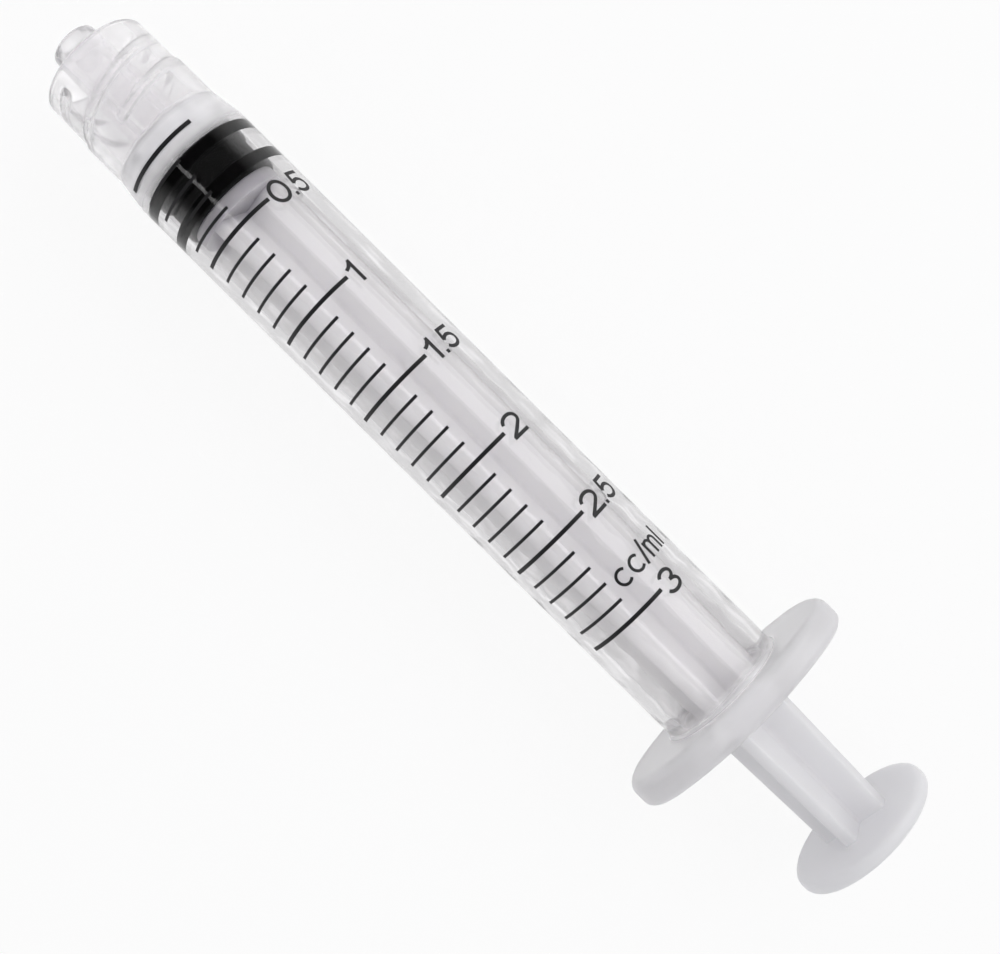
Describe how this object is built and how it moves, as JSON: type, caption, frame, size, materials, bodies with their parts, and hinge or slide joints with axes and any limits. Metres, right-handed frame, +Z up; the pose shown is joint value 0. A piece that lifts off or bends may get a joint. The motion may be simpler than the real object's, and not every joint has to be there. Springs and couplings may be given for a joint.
{
  "type": "luer lock syringe",
  "caption": "Clear plastic syringe with a luer lock tip, a printed volume scale, a rubber stopper and a sliding plunger rod with a thumb rest.",
  "frame": {"origin": "on the table below the middle of the syringe's length", "axes": "+X along the axis toward the thumb rest, +Y along the finger flange's ears, +Z up, out of the side that carries the scale"},
  "size_m": [0.0874, 0.021, 0.0129],
  "materials": {
    "barrel_clear_polypropylene": "polished mould surface, clear with a faint milky haze",
    "stopper_black_rubber": "smooth moulded rubber with a thin film of silicone oil",
    "rod_natural_polypropylene": "satin moulded, uncoloured and translucent",
    "scale_black_ink": "screen-printed black ink, slightly glossy, on the outside of the barrel"
  },
  "bodies": {
    "barrel": {"barrel": "barrel_clear_polypropylene"},
    "stopper": {"plunger_stopper": "stopper_black_rubber"},
    "rod": {"plunger_rod": "rod_natural_polypropylene"}
  },
  "joints": [
    {"name": "plunger_slide", "type": "slide", "parent": "barrel", "child": "stopper", "axis": [1, 0, 0], "range_m": [-0.0012, 0.0531]},
    {"name": "rod_twist", "type": "hinge", "parent": "stopper", "child": "rod", "pos_m": [-0.02577, 0, 0.00645], "axis": [1, 0, 0], "continuous": true}
  ]
}
